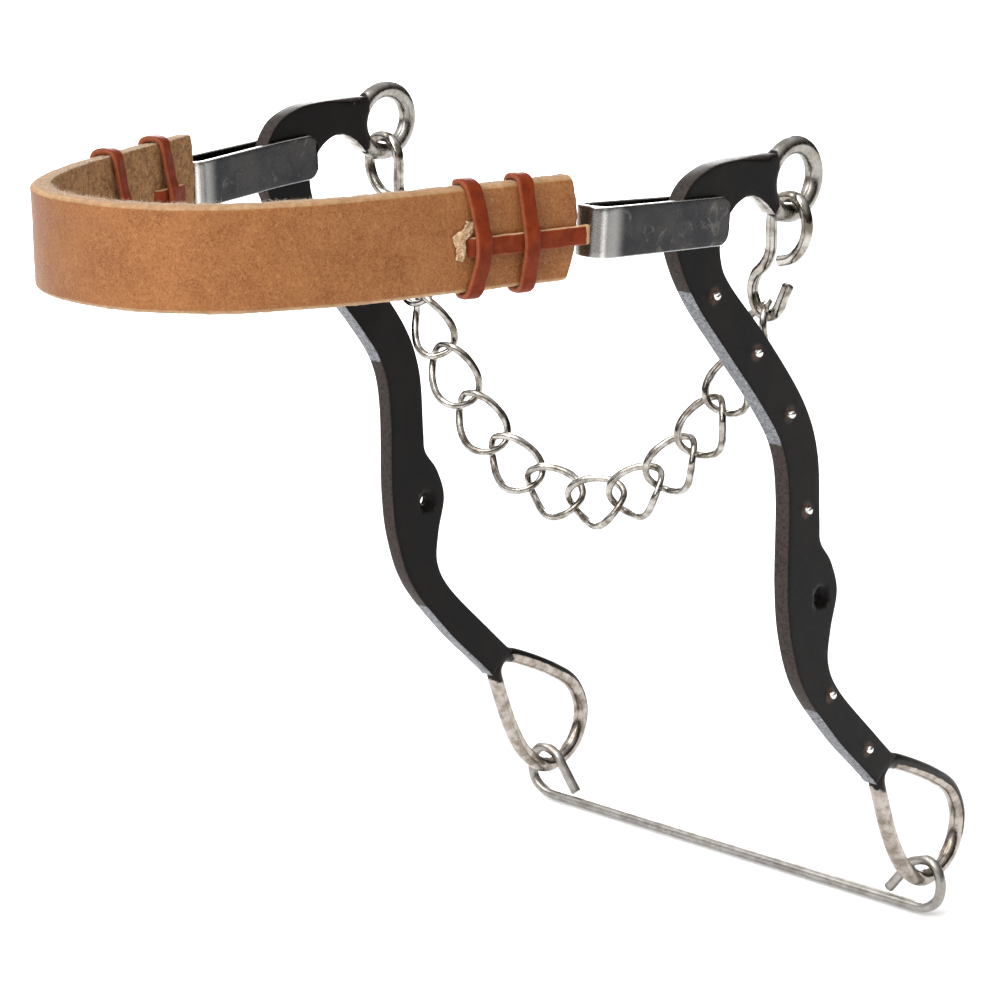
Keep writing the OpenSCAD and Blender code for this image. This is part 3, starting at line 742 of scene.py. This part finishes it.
def noseband_strap():
    sec = strap_section()
    m = len(sec)
    n = 330
    rows = []
    bow = end_arc - np.sqrt(end_arc ** 2 - (sec[:, 1] - 3) ** 2)
    share = 0.5 - 0.5 * np.cos(np.linspace(0, math.pi, n))
    share = 0.35 * share + 0.65 * np.linspace(0, 1, n)
    for k in share:
        back = (1 - k) * (STRAP_S[-1] - bow) + k * bow
        p, _, out = strap_at(back)
        rows.append(np.column_stack([p + out * sec[:, :1], sec[:, 1]]))
    # rounded ends
    caps = []
    for sign in (-1, 1):
        _, d, _ = strap_at(STRAP_S[-1] if sign < 0 else 0)
        inset = sec * [(strap_t - 0.7) / strap_t, (strap_w - 0.7) / strap_w]
        back = bow if sign > 0 else STRAP_S[-1] - bow
        q, _, o = strap_at(back)
        caps.append(np.column_stack([q + o * inset[:, :1] + sign * d * 0.3, inset[:, 1]]))
    rows = [caps[0]] + rows + [caps[1]]
    n = len(rows)
    verts = np.vstack(rows)
    faces = [(i * m + k, i * m + (k + 1) % m, (i + 1) * m + (k + 1) % m, (i + 1) * m + k)
             for i in range(n - 1) for k in range(m)]
    faces += [tuple(range(m)), tuple(range((n - 1) * m, n * m))]
    # zones
    u, z = np.tile(sec[:, 0], n), np.tile(sec[:, 1], n)
    h, t = strap_w / 2, strap_t / 2
    raw = (np.abs(z) > h - 0.2) & (u < t - 1.0) & (u > -t + 0.2)
    bevel = (u > t - 1.2) & (np.abs(z) > h - 1.0)
    flesh = u < -t + 0.2
    raw[:m] = True
    raw[-m:] = True
    colours = np.column_stack([raw, bevel & ~raw, flesh]).astype(float)
    # leather is never quite even
    depth = np.where(flesh, 0.32, np.where(raw, 0.22, 0.07))
    fine = np.array([noise.noise_vector(Vector(v) / 1.7) for v in verts])
    wide = np.array([noise.noise_vector(Vector(v) / 14) for v in verts])
    verts = verts + fine * depth[:, None] + wide * 0.16
    return (on_noseband(verts), faces), colours


def ribbon_colours(count, base):
    """Cut edges of a lace, the same for every ring."""
    edge = smoothstep(lace_w / 2 - 0.55, lace_w / 2 - 0.1, np.abs(base[:, 1]))
    return np.tile(edge, count)


LACE_SECTION = rounded_box(lace_t, lace_w, 0.62, corner=5, across=2, along=6)
WRAP_SECTION = rounded_box(lace_t - 0.1, lace_w - 0.6, 0.82, corner=6, across=2, along=6)


def lace_wrap(side, where):
    """One lace wrap: a closed hoop round the strap that stands off over the lace run."""
    back = wraps[side][where]
    arch = 1.7 if (side, where) == (1, "front") else 0.5
    p, d, out = strap_at(back)
    h, g = strap_w / 2, lace_t / 2
    t = strap_t / 2
    outer = [(0.0, h + g + 0.12), (1.35, h + g), (t, h + 0.42), (t + g - 0.15, h - 0.7), (t + g + 0.3, 8.6),
             (t + g + 1.0, 3.4), (t + g + 1.72, 0.6), (t + g + 1.86, lace_z), (t + g + 1.72, -4.2),
             (t + g + 1.0, -7.0), (t + g + 0.3, -9.8), (t + g - 0.15, -h + 0.7), (t, -h - 0.42), (1.35, -h - g)]
    inner = [(-x, z) for x, z in outer[:0:-1]]
    middle = [(0.0, -h - g - 0.12)]
    hoop = even(ring_curve(outer + middle + inner, 10), 0.55, closed=True)
    path = np.column_stack([p + out * hoop[:, :1] + d * (-arch * (hoop[:, 1:] / h) ** 2), hoop[:, 1]])
    v, f = sweep(path, [*d, 0], WRAP_SECTION, closed=True)
    v = rough(v, 2.6, 0.13, seed=int(back) + side)
    colours = np.column_stack([ribbon_colours(len(path), WRAP_SECTION * [1, 1.14]), np.zeros((len(v), 2))])
    return (on_noseband(turned(side, v)), f), colours


def lace_run(side):
    """The lace from the cut in the leather to the nose of the loop, its tucked end and a turn behind the nose."""
    back = slit_back[side]
    g = (strap_t + lace_t) / 2
    slot = np.array([nose_x + slot_in, 0])
    d = np.array([math.sin(toe_in), math.cos(toe_in)])
    # along the outer face, from inside the cut in the leather to the nose of the loop
    at = [back + 0.2, back - 0.9, back - 2.2, back - 4, *np.linspace(back - 6, 3.5, 9), 1.2]
    away = [g - 2.8, g - 1.35, g - 0.25, g + 0.02, *([g + 0.04] * 9), g - 0.05]
    points = []
    for b, a in zip(at, away):
        p, _, o = strap_at(b)
        points.append(p + o * a)
    points += [slot - 2.0 * d + [0.25, 0], slot, slot + 2.4 * d]
    outer = even(open_curve(points, 8), 0.6)
    outer = np.column_stack([outer, np.zeros(len(outer))])
    v1, f1 = sweep(outer, [0, 0, 1], LACE_SECTION, end_cut=0.3)
    # tucked in on the flesh side
    points = []
    at = [back - 0.5, back - 1.6, back - 3.2, back - 6, 14, 9.5, 8]
    away = [g - 2.6, g - 1.2, g - 0.1, g, g, g, g]
    for b, a in zip(at, away):
        p, _, o = strap_at(b)
        points.append(p - o * a)
    inner = even(open_curve(points, 8), 0.6)
    inner = np.column_stack([inner, np.zeros(len(inner))])
    v2, f2 = sweep(inner, [0, 0, 1], LACE_SECTION, end_cut=0.3)
    # a turn of the lace behind the nose
    a = np.linspace(0, 2 * math.pi, 48, endpoint=False)
    knot = np.column_stack([slot[0] + 1.25 * np.cos(a), 3.9 + 1.1 * np.sin(a), np.zeros(48)])
    v3, f3 = sweep(knot, [0, 0, 1], rounded_box(1.5, 6.0, 0.6, corner=5, across=1, along=6), closed=True)
    rings1 = len(v1) // len(LACE_SECTION)
    rings2 = len(v2) // len(LACE_SECTION)
    edge = np.concatenate([ribbon_colours(rings1, LACE_SECTION), ribbon_colours(rings2, LACE_SECTION),
                           np.zeros(len(v3))])
    v, f = joined((v1, f1), (v2, f2), (v3, f3))
    near_slot = smoothstep(-2.6, -1.9, v[:, 1]) * (v[:, 1] < 1.5) * (v[:, 0] > slot[0] - 3)
    flesh_top = smoothstep(lace_w / 2 - 0.35, lace_w / 2 - 0.05, v[:, 2]) * 0.75
    pale = np.maximum(0.75 * near_slot, flesh_top)
    v = rough(v, 2.4, 0.12, seed=5 + side)
    v = v + [0, 0, lace_z]
    return (on_noseband(turned(side, v)), f), np.column_stack([edge, pale, np.zeros(len(v))])


def torn_flap():
    """The leather torn up round the cut on the right side, where the lace comes out."""
    parts = []
    t = strap_t / 2
    for points, width, seed in (([(33.0, -4.6), (32.7, -2.6), (32.6, -0.9), (33.2, 0.3)], 2.3, 1),
                                ([(34.4, 0.1), (32.9, 0.8), (31.2, 1.9), (29.9, 3.3), (29.6, 4.5)], 2.5, 2)):
        line = even(open_curve(points, 8), 0.3)
        p, _, out = strap_at(line[:, 0])
        lift = t + 0.22 + 0.35 * np.sin(np.linspace(0.4, 2.9, len(line)))
        path = np.column_stack([p + out * lift[:, None], line[:, 1]])
        nrm = np.column_stack([out, np.zeros(len(out))])
        section = rounded_box(0.55, width, 0.2, corner=3, across=2, along=7)
        v, f = sweep(path, np.cross(nrm, tangents(path)), section, end_cut=0.15)
        parts.append((rough(rough(v, 0.9, 0.5, seed=seed), 0.4, 0.22, seed=seed + 4), f))
    v, f = joined(*parts)
    return on_noseband(v), f


def fibres():
    """Short loose fibres that stand out of the cut edges of the strap."""
    parts = []
    h, t = strap_w / 2, strap_t / 2
    for _ in range(1500):
        low = random.random() < 0.3
        u = random.choice([-t + 0.25, -t + 0.25, -t + 0.1, random.uniform(-t + 0.2, t - 1.3)])
        back = random.uniform(2, STRAP_S[-1] - 2)
        p, d, out = strap_at(back)
        z = (-1 if low else 1) * (h - 0.1)
        root = np.array([*(p + out * u), z])
        length = random.uniform(0.35, 1.1)
        lift = np.array([*(out * random.uniform(-0.8, 0.5) + d * random.uniform(-0.9, 0.9)),
                         (-1 if low else 1) * random.uniform(0.35, 1.0)])
        curl = np.array([random.uniform(-1, 1), random.uniform(-1, 1), random.uniform(-0.7, 0.3)]) * 0.5
        s = np.linspace(0, 1, 4)[:, None]
        path = root + unit(lift) * s * length + curl * s * s * length
        radius = random.uniform(0.022, 0.045)
        parts.append(sweep(path, [0.31, 0.17, 0.93], lambda i, r=radius: circle(r * (1 - 0.2 * i), 3),
                           end_cut=0))
    v, f = joined(*parts)
    return on_noseband(v), f


# ---------------------------------------------------------------- wires
def wire(path, across, d):
    return sweep(even(path, 0.5), across, circle(d / 2, 24), end_cut=0.28)


def curb_hook(side):
    flat = open_curve(hook_path, 12)
    v, f = wire(np.column_stack([flat[:, 0], np.zeros(len(flat)), flat[:, 1]]), [0, 1, 0], hook_wire)
    return turned(side, v + [bar_x, 0, 0]), f


def chain_point(k):
    """Where link k meets the next one, on the catenary that the chain hangs in."""
    s = (k - links / 2) * link_pitch / chain_bend
    return np.array([chain_bend * math.asinh(s), 0, chain_low + chain_bend * (math.sqrt(1 + s * s) - 1)])


def chain_link(k):
    """A twisted oval link with a weld in one side."""
    a, b = chain_point(k - 1), chain_point(k)
    mid, t = (a + b) / 2, unit(b - a)
    flat, out = np.array([-t[2], 0, t[0]]), np.array([0, 1, 0])
    half_l, half_w = (link_pitch + play + link_wire) / 2, (link_w - link_wire) / 2
    steps = 96
    q = np.linspace(0, 2 * math.pi, steps, endpoint=False)

    def bow(c):
        return np.sign(c) * np.abs(c) ** 0.84

    x = half_l * bow(np.cos(q))
    w = np.radians(link_turns[k - 1] + link_twist / 2 * x / half_l)
    v = half_w * bow(np.sin(q))
    path = mid + x[:, None] * t + flat * (v * np.cos(w))[:, None] + out * (v * np.sin(w))[:, None]
    across = out * np.cos(w)[:, None] - flat * np.sin(w)[:, None]
    arc_at = np.linalg.norm(path - path[steps // 4 + (3 if k % 2 else -3)], axis=1)
    weld = np.exp(-(arc_at / 0.75) ** 2) - 0.6 * np.exp(-(arc_at / 0.28) ** 2)
    # the ends are worn thinner where the neighbours bear on them
    thin = 0.11 * smoothstep(0.7, 0.95, np.abs(x) / half_l)
    verts, faces = sweep(path, across, lambda i: circle(link_wire / 2 * (1 + 0.13 * weld[i] - thin[i]), 18),
                         closed=True)
    colours = np.zeros((len(verts), 3))
    colours[:, 1] = np.repeat(np.clip(np.exp(-(arc_at / 0.9) ** 2), 0, 1), 18)
    return (verts, faces), colours


def spreader():
    right = open_curve(spreader_end, 12) + [bar_x, 0]
    flat = np.vstack([right[::-1] * [-1, 1], right])
    s = lengths(flat)
    keep = np.concatenate([[True], np.diff(s) > 1e-6])
    p = np.column_stack([flat[keep, 0], np.zeros(keep.sum()), flat[keep, 1]])
    v, f = wire(p, [0, 1, 0], spreader_wire)
    return v + [0, side_hole[0] + ring_low[0], side_hole[1] + ring_low[1]], f


# ---------------------------------------------------------------- the object
for name, side in SIDES.items():
    mesh, paint = shank_bar(side)
    piece(name + "_shank", mesh, "shanks", [name + "_shank_bar"], BLACK, 30, paint, weld=True)
    mesh, paint = cheek_eye(side)
    piece(name + "_eye", mesh, "shanks", [name + "_cheek_eye"], EYE, 60, paint)
    mesh, paint = rein_ring(side)
    piece(name + "_ring", mesh, "shanks", [name + "_rein_ring"], RING, 60, paint)
    mesh, paint = noseband_loop(side)
    piece(name + "_loop", mesh, "shanks", [name + "_noseband_loop"], LOOP, 50, paint)
    piece(name + "_pins", silver_pins(side), "shanks", [name + "_silver_pins"], SILVER, 50)
    for where in ("rear", "front"):
        mesh, paint = lace_wrap(side, where)
        label = name + "_" + where + "_wrap"
        piece(label + "_lace", mesh, "noseband", [label], LACE, 60, paint)
    mesh, paint = lace_run(side)
    piece(name + "_run_lace", mesh, "noseband", [name + "_lace_run"], LACE, 60, paint)
    v, f = curb_hook(side)
    piece(name + "_hook", (v, f), "curb_chain", [name + "_curb_hook"], BRIGHT, 50,
          np.zeros((len(v), 3)))
mesh, paint = noseband_strap()
piece("noseband_leather", mesh, "noseband", ["noseband_strap"], LEATHER, 80, paint)
v, f = torn_flap()
piece("noseband_torn_flap", (v, f), "noseband", [], TORN, 80)
piece("noseband_fibres", fibres(), "noseband", [], FIBRE, 80)
for k in range(1, links + 1):
    mesh, paint = chain_link(k)
    piece("link_%02d_wire" % k, mesh, "link_%02d" % k, ["chain_link_%02d" % k], BRIGHT, 60,
          paint)
piece("spreader_wire", spreader(), "spreader", ["spreader_bar"], SATIN, 50)

# ---------------------------------------------------------------- floor, lights, camera
floor_data = bpy.data.meshes.new("floor")
floor_z = cad_low.z - 0.0005
size = 9.0
floor_data.from_pydata([(-size, -size, floor_z), (size, -size, floor_z), (size, size, floor_z),
                        (-size, size, floor_z)], [], [(0, 1, 2, 3)])
floor = bpy.data.objects.new("floor", floor_data)
bpy.context.scene.collection.objects.link(floor)
s = Shader("floor_white", Roughness=0.9, Specular_IOR_Level=0.1)
white = s.mix(s.noise(0.002, 3), (0.93, 0.93, 0.93), (0.95, 0.95, 0.95))
floor_data.materials.append(s.finish(Base_Color=white))


def area_light(name, place, aim, size_x, size_y, power):
    data = bpy.data.lights.new(name, "AREA")
    data.shape, data.size, data.size_y, data.energy = "RECTANGLE", size_x, size_y, power
    obj = bpy.data.objects.new(name, data)
    obj.location = place
    obj.rotation_mode = "QUATERNION"
    obj.rotation_quaternion = (Vector(aim) - Vector(place)).to_track_quat("-Z", "Y")
    bpy.context.scene.collection.objects.link(obj)


AIM = (0, -0.03, -0.08)
area_light("left", (-1.3, -0.2, 0.5), AIM, 0.4, 0.9, 0.4)
area_light("behind_left", (-1.1, 1.0, 0.35), AIM, 0.7, 0.7, 14)
area_light("front", (0.1, -1.4, 0.55), AIM, 0.35, 0.5, 3.5)
sun_data = bpy.data.lights.new("sun", "SUN")
sun_data.energy, sun_data.angle = 2.7, math.radians(60)
sun = bpy.data.objects.new("sun", sun_data)
sun.rotation_mode = "QUATERNION"
sun.rotation_quaternion = Vector((0.05, 0.55, -0.83)).to_track_quat("-Z", "Y")
bpy.context.scene.collection.objects.link(sun)

# the sky brightens towards the upper left, and is dim near the horizon
world = bpy.data.worlds.new("studio")
bpy.context.scene.world = world
world.use_nodes = True
tree = world.node_tree
back = tree.nodes["Background"]
where = tree.nodes.new("ShaderNodeTexCoord")
dot = tree.nodes.new("ShaderNodeVectorMath")
dot.operation = "DOT_PRODUCT"
dot.inputs[1].default_value = (-0.42, -0.25, 0.87)
tree.links.new(where.outputs["Generated"], dot.inputs[0])
ramp = tree.nodes.new("ShaderNodeValToRGB")
stops = ramp.color_ramp.elements
stops[0].position, stops[0].color = 0.30, (0.035, 0.027, 0.021, 1)
stops[1].position, stops[1].color = 0.78, (1.0, 1.0, 1.0, 1)
middle = stops.new(0.5)
middle.color = (0.20, 0.175, 0.15, 1)
shift = tree.nodes.new("ShaderNodeMath")
shift.operation = "MULTIPLY_ADD"
shift.inputs[1].default_value = 0.5
shift.inputs[2].default_value = 0.5
tree.links.new(dot.outputs["Value"], shift.inputs[0])
tree.links.new(shift.outputs[0], ramp.inputs[0])
height = tree.nodes.new("ShaderNodeSeparateXYZ")
tree.links.new(where.outputs["Generated"], height.inputs[0])
rise = tree.nodes.new("ShaderNodeMapRange")
rise.interpolation_type = "SMOOTHSTEP"
for key, value in (("From Min", 0.08), ("From Max", 0.42), ("To Min", 0.12), ("To Max", 1.0)):
    rise.inputs[key].default_value = value
tree.links.new(height.outputs["Z"], rise.inputs["Value"])
dim = tree.nodes.new("ShaderNodeMix")
dim.data_type, dim.blend_type = "RGBA", "MULTIPLY"
dim.inputs[0].default_value = 1.0
tree.links.new(ramp.outputs[0], dim.inputs[6])
tree.links.new(rise.outputs[0], dim.inputs[7])
tree.links.new(dim.outputs[2], back.inputs[0])
back.inputs[1].default_value = 1.0

camera_data = bpy.data.cameras.new("camera")
camera_data.lens, camera_data.sensor_width = 118.9, 36
camera_data.clip_start, camera_data.clip_end = 0.05, 60
camera = bpy.data.objects.new("camera", camera_data)
azimuth, elevation = math.radians(41.38), math.radians(15.66)
camera.location = (0.57515, -0.68449, 0.15086)
camera.rotation_euler = (math.pi / 2 - elevation, 0, azimuth)
bpy.context.scene.collection.objects.link(camera)
bpy.context.scene.camera = camera
bpy.context.scene.view_settings.view_transform = "Standard"
